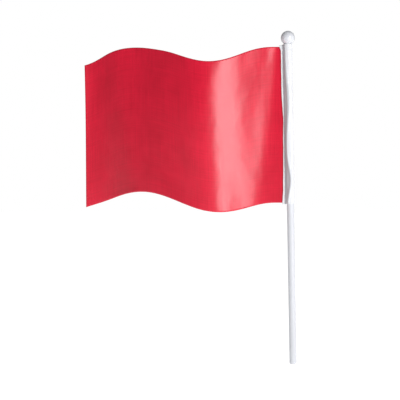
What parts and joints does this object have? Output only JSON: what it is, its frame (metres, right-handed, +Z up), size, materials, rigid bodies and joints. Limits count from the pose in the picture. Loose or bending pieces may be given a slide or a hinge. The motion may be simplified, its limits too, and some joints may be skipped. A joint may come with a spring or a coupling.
{
  "type": "hand waving flag",
  "caption": "Hand-waving flag: plain red cloth with a white fabric sleeve on a white plastic pole with a ball top.",
  "frame": {"origin": "centre of the pole's foot, on its flat underside", "axes": "+Z up the pole to the ball, -X from the pole to the cloth's fly edge, -Y is the front of the cloth"},
  "size_m": [0.3095, 0.0579, 0.46],
  "materials": {
    "pole_plastic": "satin",
    "cloth_red": "satin",
    "sleeve_white": "matte",
    "thread_white": "satin"
  },
  "bodies": {
    "pole": {"pole_tube": "pole_plastic", "finial_ball": "pole_plastic", "foot_plug": "pole_plastic"},
    "sleeve": {"pole_sleeve": "sleeve_white", "seam_needle_thread": "thread_white", "seam_bobbin_thread": "thread_white"},
    "cloth": {"flag_cloth": "cloth_red"}
  },
  "joints": [
    {"name": "flag_swivel", "type": "hinge", "parent": "pole", "child": "sleeve", "pos_m": [0, 0, 0.33], "axis": [0, 0, 1], "continuous": true},
    {"name": "cloth_fold", "type": "hinge", "parent": "sleeve", "child": "cloth", "pos_m": [-0.011, 0, 0.33], "axis": [0, 0, 1], "range_deg": [-90, 90]}
  ]
}
